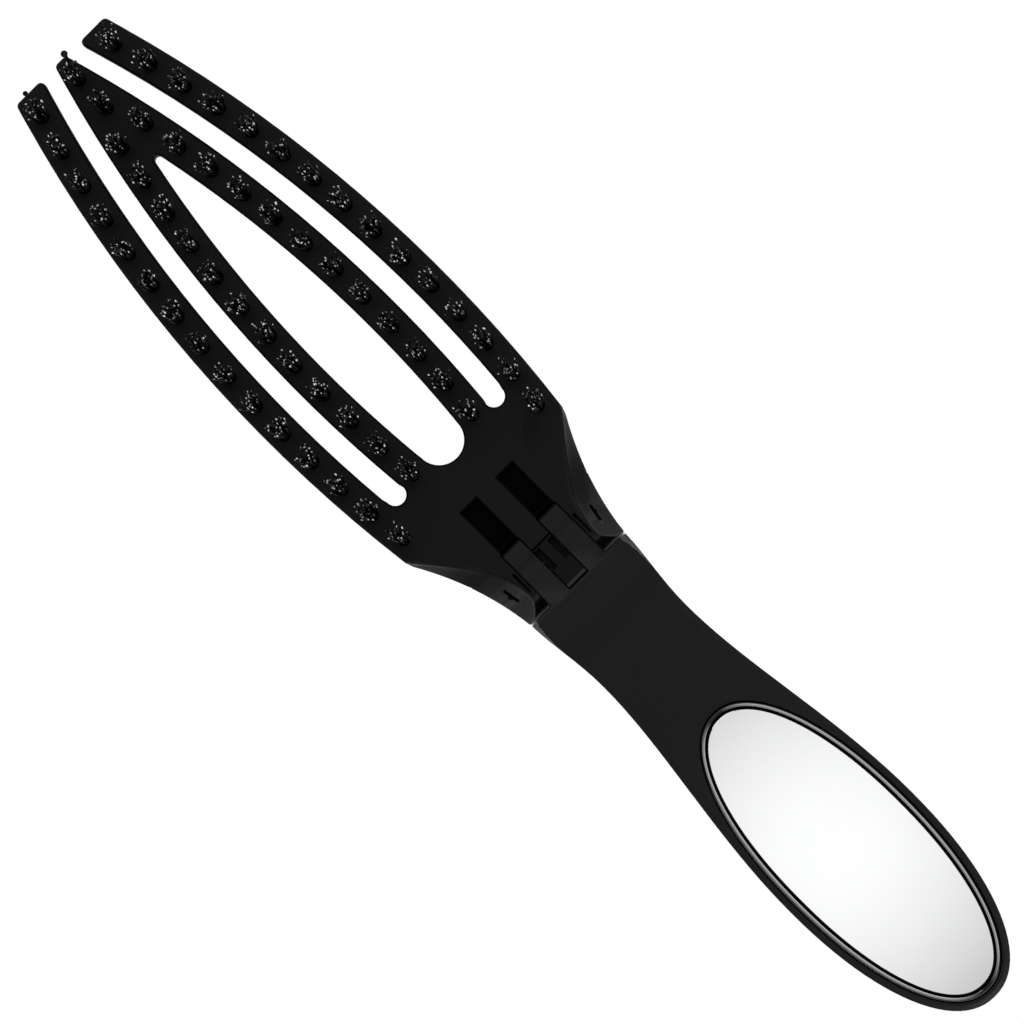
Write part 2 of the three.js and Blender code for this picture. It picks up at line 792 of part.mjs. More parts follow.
function handle_front_shell() {
  const cut_pocket = upright(
    oval(mirror_pocket().half_width, mirror_pocket().half_length, handle_belly_y),
    pocket_floor,
    handle_front + 5,
  );
  const lobes = lobe(lobe_inner_x, lobe_outer_x).add(lobe(-lobe_outer_x, -lobe_inner_x));
  const web_end = -barrel_radius - web_gap + 0.2;
  let shell = handle_blank()
    .subtract(block(-lobe_inner_x, lobe_inner_x, web_end, far, -far, far))
    .subtract(block(-far, far, -far, far, -far, split_z))
    .subtract(handle_cavity())
    .subtract(cut_pocket);
  for (const y of peg_ys) {
    shell = shell.add(post(peg_radius, 0, y, back_offset + floor_thickness + fixed_gap, pocket_floor - 0.5));
  }
  const bore = pin_radius + running_gap + bush_wall + fixed_gap;
  return shell.add(lobes).subtract(rod_along_x(bore, -far, far));
}

function handle_back_shell() {
  const clear_x = lobe_outer_x + fixed_gap;
  const clear_y = -barrel_radius - shoulder_gap - lobe_root - fixed_gap;
  let shell = handle_blank()
    .subtract(block(-clear_x, clear_x, clear_y, far, -far, far))
    .subtract(block(-far, far, -far, far, split_z, far))
    .subtract(handle_cavity());
  for (const y of peg_ys) {
    const socket = peg_radius + fixed_gap;
    const boss = post(socket + peg_wall, 0, y, back_offset + 0.5, split_z);
    shell = shell.add(boss).subtract(post(socket, 0, y, back_offset + floor_thickness, far));
  }
  return shell;
}

function mirror_pocket() {
  const grow = fixed_gap + bezel_width + fixed_gap;
  return { half_width: mirror_half_width + grow, half_length: mirror_half_length + grow };
}

function mirror_ring(offset, z) {
  return at_height(oval(mirror_half_width + offset, mirror_half_length + offset, handle_belly_y), z);
}

// Bezel: a flat glossy ring round the glass with a fine bead along its outer edge
function mirror_bezel() {
  const inner = fixed_gap;
  const outer = fixed_gap + bezel_width;
  const flat_z = handle_front - bezel_sink;
  const bead = bezel_bead_width;
  const outside = skin([
    mirror_ring(outer, pocket_floor),
    mirror_ring(outer, handle_front + bezel_bead_height - bead / 2),
    mirror_ring(outer - bead / 2, handle_front + bezel_bead_height),
    mirror_ring(outer - bead, handle_front + bezel_bead_height - bead / 2),
  ]);
  const dish = skin([mirror_ring(outer - bead, flat_z), mirror_ring(outer - bead, handle_front + 5)]);
  const hole = skin([mirror_ring(inner, pocket_floor - 1), mirror_ring(inner, handle_front + 5)]);
  return outside.subtract(dish).subtract(hole);
}

function mirror_glass() {
  const low = pocket_floor + adhesive_thickness;
  const high = low + mirror_thickness;
  return skin([
    mirror_ring(0, low),
    mirror_ring(0, high - mirror_edge_bevel / 2),
    mirror_ring(-mirror_edge_bevel, high),
  ]);
}

function mirror_adhesive_pad() {
  return skin([
    mirror_ring(-adhesive_margin, pocket_floor),
    mirror_ring(-adhesive_margin, pocket_floor + adhesive_thickness),
  ]);
}

const black_plastic = new THREE.MeshStandardMaterial({ color: 0x17171a, roughness: 0.62, metalness: 0 });
const tab_plastic = new THREE.MeshStandardMaterial({ color: 0x141416, roughness: 0.5, metalness: 0 });
const gloss_plastic = new THREE.MeshStandardMaterial({ color: 0x050506, roughness: 0.12, metalness: 0 });
const bristle_fibre = new THREE.MeshStandardMaterial({ color: 0x1b1613, roughness: 0.45, metalness: 0 });
const spring_steel = new THREE.MeshStandardMaterial({ color: 0x232427, roughness: 0.4, metalness: 1 });
const pin_steel = new THREE.MeshStandardMaterial({ color: 0x2a2a2c, roughness: 0.3, metalness: 1 });
const bush_plastic = new THREE.MeshStandardMaterial({ color: 0x3a3a38, roughness: 0.5, metalness: 0 });
const silvered_glass = new THREE.MeshStandardMaterial({ color: 0xe8ebee, roughness: 0.03, metalness: 1 });
const foam_tape = new THREE.MeshStandardMaterial({ color: 0x303030, roughness: 0.9, metalness: 0 });

const blank = head_blank();
const zones = strip_zones();

const head = new THREE.Group();
head.add(
  piece('head_frame', head_frame(blank, zones), black_plastic),
  piece('left_finger_bristles', bristle_strip(blank, zones.finger, finger_tufts(), -1), bristle_fibre),
  piece('right_finger_bristles', bristle_strip(blank, zones.finger, finger_tufts(), 1), bristle_fibre),
  piece('centre_left_bristles', bristle_strip(blank, zones.centre, centre_tufts(), -1), bristle_fibre),
  piece('centre_right_bristles', bristle_strip(blank, zones.centre, centre_tufts(), 1), bristle_fibre),
  piece('neck_back_cover', neck_back_cover(), black_plastic),
  piece('left_detent_spring', detent_spring(-1), spring_steel),
  piece('right_detent_spring', detent_spring(1), spring_steel),
  piece('hinge_pin', hinge_pin(), pin_steel),
  piece('release_tab', release_tab(), tab_plastic),
);

const handle = new THREE.Group();
handle.add(
  piece('handle_front_shell', handle_front_shell(), black_plastic),
  piece('handle_back_shell', handle_back_shell(), black_plastic),
  piece('left_hinge_bush', hinge_bush(-1), bush_plastic),
  piece('right_hinge_bush', hinge_bush(1), bush_plastic),
  piece('mirror_adhesive_pad', mirror_adhesive_pad(), foam_tape),
  piece('mirror_glass', mirror_glass(), silvered_glass),
  piece('mirror_bezel', mirror_bezel(), gloss_plastic),
);

const brush = new THREE.Group();
brush.name = 'folding_hair_brush';
brush.add(head, handle);
brush.position.set(0, hinge_place.y, hinge_place.z);

export default brush;
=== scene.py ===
import math

import bmesh
import bpy
from mathutils import Matrix, Vector, kdtree


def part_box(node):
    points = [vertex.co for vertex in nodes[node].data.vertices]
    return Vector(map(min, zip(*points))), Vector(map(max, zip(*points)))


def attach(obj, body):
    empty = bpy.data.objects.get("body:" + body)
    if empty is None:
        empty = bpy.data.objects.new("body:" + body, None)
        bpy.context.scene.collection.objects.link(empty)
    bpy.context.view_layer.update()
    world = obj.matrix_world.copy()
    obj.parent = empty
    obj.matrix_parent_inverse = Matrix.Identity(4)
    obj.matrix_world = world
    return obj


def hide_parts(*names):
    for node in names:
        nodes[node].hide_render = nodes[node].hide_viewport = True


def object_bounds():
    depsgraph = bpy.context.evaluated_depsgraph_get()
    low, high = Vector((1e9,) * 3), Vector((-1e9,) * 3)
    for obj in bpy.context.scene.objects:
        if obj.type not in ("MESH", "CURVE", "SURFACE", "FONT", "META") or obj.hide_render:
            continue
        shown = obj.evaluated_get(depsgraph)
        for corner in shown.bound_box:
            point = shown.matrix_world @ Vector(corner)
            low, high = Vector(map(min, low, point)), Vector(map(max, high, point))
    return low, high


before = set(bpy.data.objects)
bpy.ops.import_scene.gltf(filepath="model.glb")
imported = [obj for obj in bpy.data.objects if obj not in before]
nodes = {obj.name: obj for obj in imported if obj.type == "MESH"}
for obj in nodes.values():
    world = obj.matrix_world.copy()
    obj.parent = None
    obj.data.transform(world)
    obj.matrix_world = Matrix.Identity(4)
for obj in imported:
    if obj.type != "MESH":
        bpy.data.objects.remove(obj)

CAD_BOX = [list(corner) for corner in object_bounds()]

# All lengths are in metres
MM = 0.001

# Edges of the moulded parts
MERGE = 0.002 * MM
MOULD_EDGE = 0.16 * MM
HANDLE_EDGE = 0.22 * MM
TAB_EDGE = 0.12 * MM
COVER_EDGE = 0.14 * MM
PIN_EDGE = 0.25 * MM
SHARP_ANGLE = math.radians(27)
FLAT_ANGLE = math.radians(0.4)
CREASE_ANGLE = math.radians(80)

# Sloped sides near the hinge: how far upward their faces look, and how alike two faces of one side look
SLOPE_RANGE = (0.15, 0.74)
SAME_SIDE = 0.65

# How far round a corner, and how far from the hinge, those faces are looked for
NEIGHBOUR_REACH = 2.8 * MM
NECK_REACH = 30 * MM

# Distance between the level cuts through the neck, and between the cuts across it
LEVEL_STEP = 0.92 * MM
CROSS_STEP = 1.1 * MM

# Handled edges of the plastic are lighter by this share, partly as wear and partly as a painted highlight on
# the edges, and smoother by this much
WEAR_AND_HIGHLIGHT_LIGHTER = 1.9
WORN_SMOOTHER = 0.12

# The pale tips of strands, painted glints of light on their ends: where along a strand they fade in, and
# which values of a noise make them pale
PAINTED_GLINT_PART = (0.80, 0.95)
PAINTED_GLINT_STRANDS = (0.49, 0.62)

# Tufts
HOLE_RADIUS = 1.15 * MM
HOLE_DEPTH = 2.4 * MM
TUFT_ROOT_RADIUS = 0.95 * MM
TUFT_TIP_RADIUS = 1.75 * MM
TUFT_SPACING = 2 * MM
TIP_BAND = 0.05 * MM
LIMB_REACH = 0.6 * MM
MIDDLE_BAND = 1.0 * MM
ROW_DEPTH = 1.0 * MM
BRISTLES_PER_TUFT = 36
BRISTLE_LENGTH = 11.0 * MM
BRISTLE_SPREAD = 0.14
BRISTLE_THICKNESS = 0.13 * MM
BRISTLE_LEAN = 0.055
BRISTLE_SEED = 101
STRAND_SWAY = 0.035

# Ball-tipped pins: each lean is sideways and along, and the last row's goes by the side of its limb
PIN_THICKNESS = 0.22 * MM
PIN_BALL = 0.45 * MM
PIN_ROOT_RADIUS = 0.25 * MM
PIN_TIP_RADIUS = 0.3 * MM
PIN_SPREAD = 0.02
PIN_LEAN = (0.0, 0.075)
PIN_SEED = 301
CENTRE_PIN_THICKNESS = 0.28 * MM
CENTRE_PIN_BALL = 0.6 * MM
TIP_PIN_LEANS = {-1: (0.09, 0.22), 0: (0.065, 0.28), 1: (0.07, 0.19)}

# Slots over the ends of the hinge pin
PIN_SLOT_PLACE = 9.5 * MM
PIN_SLOT_LENGTH = 3.0 * MM
PIN_SLOT_WIDTH = 0.5 * MM
PIN_SLOT_HEIGHT = 12 * MM
PIN_SLOT_BELOW_PIN = 2.2 * MM
PIN_SLOT_TURN = math.radians(9.5)

# Mirror and its ring
OVAL_SIDES = 192
OVAL_FULLNESS = 2.15
GLASS_EDGE = 0.10 * MM
GLASS_BELOW_FRONT = 0.3 * MM
RING_GAP = 0.3 * MM
TROUGH_BELOW_FRONT = 0.2 * MM
INNER_TROUGH_DEPTH = 0.6 * MM
BEAD_PLACE = 0.70 * MM
BEAD_HALF_WIDTH = 0.21 * MM
BEAD_TOP_HALF_WIDTH = 0.02 * MM
BEAD_HEIGHT = 0.088 * MM

# Camera: it looks down from a little way toward the handle, with the brush at 45 degrees in the picture
CAMERA_HEIGHT = 1.6
CAMERA_BACK = 0.088
CAMERA_TURN = math.radians(-45.0)
VIEW_CENTRE = Vector((0.00012, 0.00324, 0.0102))
VIEW_WIDTH = 0.16369
SENSOR = 36.0

# The soft card over the brush, which the mirror shows: its brightest direction, its reach and its fade
CARD_DIRECTION = (-0.001, 0.0087, 1.0)
CARD_REACH = math.radians(1.66)
CARD_BRIGHTNESS = (0.15, 1.07)

# A raised panel on either side of the brush, which the ring's bead and the rounded edges show as a thin line
PANEL_LOW = 0.48
PANEL_HIGH = 0.80
PANEL_REACH = (0.12, 0.62)
PANEL_BRIGHTNESS = (3.0, 5.2)

# Light from all round, for everything but reflections
SOFT_LIGHT = 0.45

# The floor lies just under the brush and glows a little in reflections
FLOOR_REACH = 3.0
FLOOR_DROP = 0.4 * MM
FLOOR_GLOW = 0.4

# The floor under the hinge, which shows through the hinge's gaps, is in the brush's own shade
FLOOR_SHADE_REACH = 30 * MM
FLOOR_SHADE_PLACE = Vector((0.0, 1.3 * MM, 0.0))
FLOOR_SHADE_SIZE = (10.7 * MM, 7.9 * MM)
FLOOR_SHADE_FADE = 0.5 * MM
FLOOR_OPENNESS = (0.4, 0.7)
FLOOR_TONES = (0.02, 0.7)

plate_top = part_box("head_frame")[1].z


# Small helpers for node trees and meshes


def link_or_set(tree, socket, value):
    """Links a socket to another one, or gives it a plain value."""
    if isinstance(value, bpy.types.NodeSocket):
        tree.links.new(value, socket)
    else:
        socket.default_value = value


def add_node(tree, kind, settings=None, **sockets):
    """Adds a node, sets its options, and fills its inputs by name (spaces as underscores) or by in0, in1."""
    node = tree.nodes.new(kind)
    for key, value in (settings or {}).items():
        setattr(node, key, value)
    for name, value in sockets.items():
        if name.startswith("in") and name[2:].isdigit():
            socket = node.inputs[int(name[2:])]
        else:
            socket = node.inputs[name.replace("_", " ")]
        link_or_set(tree, socket, value)
    return node


def maths(tree, operation, a, b=0.0):
    return add_node(tree, "ShaderNodeMath", {"operation": operation}, in0=a, in1=b).outputs[0]


def mapped(tree, value, **ranges):
    """A value moved from one range to another, clamped to the second."""
    return add_node(tree, "ShaderNodeMapRange", Value=value, **ranges).outputs[0]


def object_place(tree):
    return add_node(tree, "ShaderNodeTexCoord").outputs["Object"]


def colour_mix(tree, amount, first, second):
    """A mix of two colours, each of them a socket or three plain values."""
    mixed = add_node(tree, "ShaderNodeMix", {"data_type": "RGBA"}, in0=amount)
    for index, colour in ((6, first), (7, second)):
        plain = not isinstance(colour, bpy.types.NodeSocket)
        link_or_set(tree, mixed.inputs[index], (*colour, 1.0) if plain else colour)
    return mixed.outputs[2]


def new_group(name, kind, inputs, outputs):
    """An empty node group with named sockets, and its two end nodes."""
    tree = bpy.data.node_groups.new(name, kind)
    for label, socket_type, value in inputs:
        socket = tree.interface.new_socket(label, in_out="INPUT", socket_type=socket_type)
        if value is not None:
            socket.default_value = value
    for label, socket_type in outputs:
        tree.interface.new_socket(label, in_out="OUTPUT", socket_type=socket_type)
    return tree, tree.nodes.new("NodeGroupInput"), tree.nodes.new("NodeGroupOutput")


def new_object(name, mesh):
    piece = bpy.data.objects.new(name, mesh)
    bpy.context.scene.collection.objects.link(piece)
    return piece


def merged_copy(node):
    """A bmesh of a CAD node with its corners joined."""
    work = bmesh.new()
    work.from_mesh(nodes[node].data)
    bmesh.ops.remove_doubles(work, verts=work.verts, dist=MERGE)
    return work


def clear_flats(work):
    """Clears flat areas of the edges that cross them."""
    bmesh.ops.dissolve_limit(
        work, angle_limit=FLAT_ANGLE, use_dissolve_boundaries=False, verts=work.verts, edges=work.edges
    )


def to_mesh(work, name):
    mesh = bpy.data.meshes.new(name)
    work.to_mesh(mesh)
    work.free()
    return mesh


def baked(piece):
    """Applies every modifier on the piece, so that only its finished mesh is left."""
    graph = bpy.context.evaluated_depsgraph_get()
    graph.update()
    finished = bpy.data.meshes.new_from_object(piece.evaluated_get(graph))
    piece.modifiers.clear()
    piece.data = finished
    return piece


def round_edges(piece, width):
    """Small moulded radius on every real edge, with the large faces kept flat in the shading."""
    bevel = piece.modifiers.new("edge radius", "BEVEL")
    bevel.width = width
    bevel.segments = 2
    bevel.limit_method = "ANGLE"
    bevel.angle_limit = SHARP_ANGLE
    bevel.use_clamp_overlap = True
    weighted = piece.modifiers.new("flat faces", "WEIGHTED_NORMAL")
    weighted.weight = 50
    weighted.keep_sharp = True
    for polygon in piece.data.polygons:
        polygon.use_smooth = True
    piece.data.set_sharp_from_angle(angle=CREASE_ANGLE)
    return baked(piece)


def hinge_centre():
    low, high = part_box("hinge_pin")
    return (low + high) / 2


def even_out_sides(piece):
    """On the sloped sides near the hinge, each corner takes the mean normal of the sloped faces round it."""
    mesh = piece.data
    middle_y = hinge_centre().y
    normals = [polygon.normal.copy() for polygon in mesh.polygons]
    areas = [polygon.area for polygon in mesh.polygons]
    steepest, flattest = SLOPE_RANGE
    sloped = [polygon for polygon in mesh.polygons if steepest < polygon.normal.z < flattest]
    tree = kdtree.KDTree(len(sloped))
    for polygon in sloped:
        tree.insert(polygon.center, polygon.index)
    tree.balance()
    corners = [corner.vector.copy() for corner in mesh.corner_normals]
    for polygon in sloped:
        own = normals[polygon.index]
        if abs(polygon.center.y - middle_y) > NECK_REACH:
            continue
        for corner in polygon.loop_indices:
            place = mesh.vertices[mesh.loops[corner].vertex_index].co
            total = own * areas[polygon.index]
            for _, index, _ in tree.find_range(place, NEIGHBOUR_REACH):
                if own.dot(normals[index]) > SAME_SIDE:
                    total += normals[index] * areas[index]
            corners[corner] = total.normalized()
    mesh.normals_split_custom_set(corners)


def finish_piece(piece, material, body, slot_name, *replaced):
    """Gives a piece its finish, its body and the CAD nodes that it stands for."""
    piece.data.materials.clear()
    piece.data.materials.append(material)
    for polygon in piece.data.polygons:
        polygon.material_index = 0
    if replaced:
        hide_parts(*replaced)
    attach(piece, body)
    return piece


# Shared surface effects


def build_moulded_grain():
    """Fine moulded texture: puts out a roughness that varies over the surface and a height for bump."""
    tree, given, result = new_group(
        "moulded grain",
        "ShaderNodeTree",
        [
            ("Grain size", "NodeSocketFloat", 0.00016),
            ("Smudge size", "NodeSocketFloat", 0.02),
            ("Roughness", "NodeSocketFloat", 0.5),
            ("Variation", "NodeSocketFloat", 0.08),
        ],
        [("Roughness", "NodeSocketFloat"), ("Height", "NodeSocketFloat"), ("Mottle", "NodeSocketFloat")],
    )
    place = object_place(tree)
    fine = add_node(
        tree,
        "ShaderNodeTexNoise",
        Vector=place,
        Scale=maths(tree, "DIVIDE", 1.0, given.outputs["Grain size"]),
        Detail=2.0,
        Roughness=0.6,
    ).outputs[0]
    broad = add_node(
        tree,
        "ShaderNodeTexNoise",
        Vector=place,
        Scale=maths(tree, "DIVIDE", 1.0, given.outputs["Smudge size"]),
        Detail=4.0,
        Roughness=0.55,
    ).outputs[0]
    centred = maths(tree, "SUBTRACT", broad, 0.5)
    spread = maths(tree, "MULTIPLY", centred, given.outputs["Variation"])
    rough = maths(tree, "ADD", given.outputs["Roughness"], maths(tree, "MULTIPLY", spread, 2.0))
    tree.links.new(rough, result.inputs["Roughness"])
    tree.links.new(fine, result.inputs["Height"])
    tree.links.new(broad, result.inputs["Mottle"])
    return tree


def build_edge_wear_and_highlight():
    """Where handling has worn a moulded edge and where a painted highlight lies on it: a mask that is 1 on
    convex edges, broken up by noise.
    """
    tree, given, result = new_group(
        "edge polish",
        "ShaderNodeTree",
        [("Sharpness", "NodeSocketFloat", 12.0), ("Break-up size", "NodeSocketFloat", 0.003)],
        [("Mask", "NodeSocketFloat")],
    )
    pointed = add_node(tree, "ShaderNodeNewGeometry").outputs["Pointiness"]
    raised = maths(tree, "MULTIPLY", maths(tree, "SUBTRACT", pointed, 0.52), given.outputs["Sharpness"])
    place = object_place(tree)
    noise = add_node(
        tree,
        "ShaderNodeTexNoise",
        Vector=place,
        Scale=maths(tree, "DIVIDE", 1.0, given.outputs["Break-up size"]),
        Detail=3.0,
    ).outputs[0]
    mask = maths(tree, "MULTIPLY", raised, noise)
    clamped = add_node(tree, "ShaderNodeClamp", Value=mask).outputs[0]
    tree.links.new(clamped, result.inputs["Mask"])
    return tree


MOULDED_GRAIN = build_moulded_grain()
EDGE_WEAR_AND_HIGHLIGHT = build_edge_wear_and_highlight()


def new_material(name):
    material = bpy.data.materials.new(name)
    material.use_nodes = True
    tree = material.node_tree
    shader = tree.nodes["Principled BSDF"]
    return material, tree, shader


def bump(tree, shader, height, strength, distance):
    node = add_node(tree, "ShaderNodeBump", Height=height, Strength=strength, Distance=distance)
    tree.links.new(node.outputs[0], shader.inputs["Normal"])


def plastic(name, dark, light, roughness, specular, grain_size, grain_depth):
    """Moulded plastic: fine grain in the gloss, a faint mottle in the colour, smoother edges, and lighter
    edges that are partly wear and partly a painted highlight.
    """
    material, tree, shader = new_material(name)
    grain = add_node(
        tree,
        "ShaderNodeGroup",
        {"node_tree": MOULDED_GRAIN},
        Grain_size=grain_size,
        Roughness=roughness,
    )
    worn_and_highlit_edges = add_node(tree, "ShaderNodeGroup", {"node_tree": EDGE_WEAR_AND_HIGHLIGHT}).outputs["Mask"]
    mottled = colour_mix(tree, grain.outputs["Mottle"], dark, light)
    # Convex edges are painted lighter: partly handling wear, partly a painted highlight along the edge
    worn_and_highlit_colour = colour_mix(tree, worn_and_highlit_edges, mottled, [channel * WEAR_AND_HIGHLIGHT_LIGHTER for channel in light])
    tree.links.new(worn_and_highlit_colour, shader.inputs["Base Color"])
    gloss_gain = maths(tree, "MULTIPLY", worn_and_highlit_edges, WORN_SMOOTHER)
    smoother = maths(tree, "SUBTRACT", grain.outputs["Roughness"], gloss_gain)
    tree.links.new(smoother, shader.inputs["Roughness"])
    shader.inputs["Specular IOR Level"].default_value = specular
    bump(tree, shader, grain.outputs["Height"], 0.35, grain_depth)
    return material


def bristle_material(name, root, tip, roughness, specular):
    """Dark strands, some of them with a pale tip that is a painted glint of light on the strand's end."""
    material, tree, shader = new_material(name)
    place = object_place(tree)
    height = add_node(tree, "ShaderNodeSeparateXYZ", Vector=place).outputs[2]
    low, high = (plate_top + share * BRISTLE_LENGTH for share in PAINTED_GLINT_PART)
    along = mapped(tree, height, From_Min=low, From_Max=high)
    upright = add_node(tree, "ShaderNodeMapping", Vector=place, Scale=(1.0, 1.0, 0.05)).outputs[0]
    strand = add_node(tree, "ShaderNodeTexNoise", Vector=upright, Scale=2100.0, Detail=1.0).outputs[0]
    glinting_strands = mapped(tree, strand, From_Min=PAINTED_GLINT_STRANDS[0], From_Max=PAINTED_GLINT_STRANDS[1])
    # The pale tip colour is a painted glint on the ends of the strands that the noise picks
    tone = colour_mix(tree, maths(tree, "MULTIPLY", along, glinting_strands), root, tip)
    tree.links.new(tone, shader.inputs["Base Color"])
    rough = maths(tree, "ADD", roughness, maths(tree, "MULTIPLY", glinting_strands, -0.12))
    tree.links.new(rough, shader.inputs["Roughness"])
    shader.inputs["Specular IOR Level"].default_value = specular
    return material


def steel(name, colour, roughness):
    """Drawn or rolled steel: fine lines along X in the gloss."""
    material, tree, shader = new_material(name)
    place = object_place(tree)
    drawn = add_node(tree, "ShaderNodeMapping", Vector=place, Scale=(400.0, 9000.0, 9000.0)).outputs[0]
    lines = add_node(tree, "ShaderNodeTexNoise", Vector=drawn, Scale=1.0, Detail=3.0).outputs[0]
    shader.inputs["Base Color"].default_value = (*colour, 1.0)
    shader.inputs["Metallic"].default_value = 1.0
    rough = mapped(tree, lines, To_Min=roughness - 0.08, To_Max=roughness + 0.12)
    tree.links.new(rough, shader.inputs["Roughness"])
    bump(tree, shader, lines, 0.2, 0.005 * MM)
    return material


def mirror_material():
    """Silvered glass with the faintest haze of fingerprints in its gloss."""
    material, tree, shader = new_material("silvered_glass")
    place = object_place(tree)
    haze = add_node(
        tree,
        "ShaderNodeTexNoise",
        Vector=place,
        Scale=70.0,
        Detail=6.0,
        Roughness=0.6,
    ).outputs[0]
    rough = mapped(tree, haze, From_Min=0.45, To_Min=0.012, To_Max=0.05)
    tree.links.new(rough, shader.inputs["Roughness"])
    shader.inputs["Base Color"].default_value = (0.93, 0.935, 0.94, 1.0)
    shader.inputs["Metallic"].default_value = 1.0
    return material


BLACK = plastic(
    "moulded_black",
    dark=(0.0021, 0.0021, 0.0022),
    light=(0.0029, 0.0029, 0.0030),
    roughness=0.50,
    specular=0.04,
    grain_size=0.16 * MM,
    grain_depth=0.010 * MM,
)
# The handle's black plastic is the head's, painted about three times lighter for the light that falls on the
# handle
LIT_HANDLE_BLACK = plastic(
    "handle_black",
    dark=(0.0072, 0.0072, 0.0074),
    light=(0.0094, 0.0094, 0.0097),
    roughness=0.46,
    specular=0.05,
    grain_size=0.16 * MM,
    grain_depth=0.010 * MM,
)
# The press tab's black plastic is painted lighter than the head's for the light on the crest of the hinge
LIT_TAB_BLACK = plastic(
    "tab_black",
    dark=(0.0034, 0.0034, 0.0035),
    light=(0.0044, 0.0044, 0.0046),
    roughness=0.42,
    specular=0.04,
    grain_size=0.14 * MM,
    grain_depth=0.008 * MM,
)
GLOSS_BLACK = plastic(
    "gloss_black",
    dark=(0.0008, 0.0008, 0.0009),
    light=(0.0012, 0.0012, 0.0013),
    roughness=0.10,
    specular=1.0,
    grain_size=0.5 * MM,
    grain_depth=0.001 * MM,
)
BUSH = plastic(
    "bush_plastic",
    dark=(0.004, 0.004, 0.004),
    light=(0.006, 0.006, 0.006),
    roughness=0.45,
    specular=0.1,
    grain_size=0.2 * MM,
    grain_depth=0.004 * MM,
)
TAPE = plastic(
    "foam_tape",
    dark=(0.02, 0.02, 0.02),
    light=(0.03, 0.03, 0.03),
    roughness=0.85,
    specular=0.2,
    grain_size=0.2 * MM,
    grain_depth=0.03 * MM,
)
# The second colour of each is a painted glint at the strand tips, bright on the bristle and faint on the
# nylon
BRISTLE = bristle_material("dark_bristle", (0.0050, 0.0048, 0.0046), (0.70, 0.69, 0.67), 0.5, 0.06)
NYLON = bristle_material("black_nylon", (0.0020, 0.0020, 0.0020), (0.012, 0.012, 0.012), 0.55, 0.03)
# The springs' near-black colour is painted shade, darker than blackened steel, so that the windows over them
# read as deep shade
SHADED_SPRING_STEEL = steel("spring_steel_painted_shade", (0.0014, 0.0014, 0.0016), 0.42)
# The pin's dark colour is partly painted shade, so that the slots beside the tab, where it shows, read as
# deep shade
SHADED_PIN_STEEL = steel("pin_steel_painted_shade", (0.012, 0.012, 0.0125), 0.34)
MIRROR = mirror_material()


# The bristle head


BRISTLE_NODES = [
    "left_finger_bristles",
    "right_finger_bristles",
    "centre_left_bristles",
    "centre_right_bristles",
]


def tuft_centres():
    """Where the tufts stand, read from the ball tips of the frame's own strands."""
    centres = []
    for name in BRISTLE_NODES:
        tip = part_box(name)[1].z
        for vertex in nodes[name].data.vertices:
            if vertex.co.z < tip - TIP_BAND:
                continue
            spot = Vector((vertex.co.x, vertex.co.y, plate_top))
            if all((spot - other).length > TUFT_SPACING for other in centres):
                centres.append(spot)
    for spot in centres:
        if abs(spot.x) < MIDDLE_BAND:
            spot.x = 0.0
    return centres


def finger_side(spot):
    """-1 or 1 on the left or right finger, and 0 on the centre piece."""
    for name, side in (("left_finger_bristles", -1), ("right_finger_bristles", 1)):
        corners = nodes[name].data.vertices
        nearest = min(math.hypot(corner.co.x - spot.x, corner.co.y - spot.y) for corner in corners)
        if nearest < LIMB_REACH:
            return side
    return 0


def strip_of(spot):
    """The strip of bristle that a tuft belongs to; those on the middle line go with the right one."""
    side = finger_side(spot)
    if side:
        return "left_finger_bristles" if side < 0 else "right_finger_bristles"
    return "centre_left_bristles" if spot.x < -MIDDLE_BAND else "centre_right_bristles"


def limb_slice(name):
    """The backing slice of one strip of bristle, with its strands taken off."""
    work = merged_copy(name)
    strands = [vertex for vertex in work.verts if vertex.co.z > plate_top + 0.01 * MM]
    bmesh.ops.delete(work, geom=strands, context="VERTS")
    open_edges = [edge for edge in work.edges if edge.is_boundary]
    bmesh.ops.holes_fill(work, edges=open_edges, sides=0)
    bmesh.ops.recalc_face_normals(work, faces=work.faces)
    clear_flats(work)
    return new_object(name + "_slice", to_mesh(work, name + "_slice"))


def tuft_holes(centres):
    """One mesh of round holes, to be cut into the limbs."""
    work = bmesh.new()
    for spot in centres:
        middle = Matrix.Translation((spot.x, spot.y, plate_top))
        bmesh.ops.create_cone(
            work,
            cap_ends=True,
            segments=20,
            radius1=HOLE_RADIUS,
            radius2=HOLE_RADIUS,
            depth=2 * HOLE_DEPTH,
            matrix=middle,
        )
    return new_object("tuft_holes", to_mesh(work, "tuft_holes"))


def pin_end_slots():
    """Two short upright slots, one in the sloped side of each ear, just beyond the ends of the hinge pin."""
    work = bmesh.new()
    pin = hinge_centre()
    middle_z = pin.z - PIN_SLOT_BELOW_PIN + PIN_SLOT_HEIGHT / 2
    for side in (-1, 1):
        place = Matrix.Translation((side * PIN_SLOT_PLACE, pin.y, middle_z))
        size = Matrix.Diagonal((PIN_SLOT_WIDTH, PIN_SLOT_LENGTH, PIN_SLOT_HEIGHT, 1.0))
        turn = Matrix.Rotation(-side * PIN_SLOT_TURN, 4, "Z")
        bmesh.ops.create_cube(work, size=1.0, matrix=place @ turn @ size)
    return new_object("pin_end_slots", to_mesh(work, "pin_end_slots"))


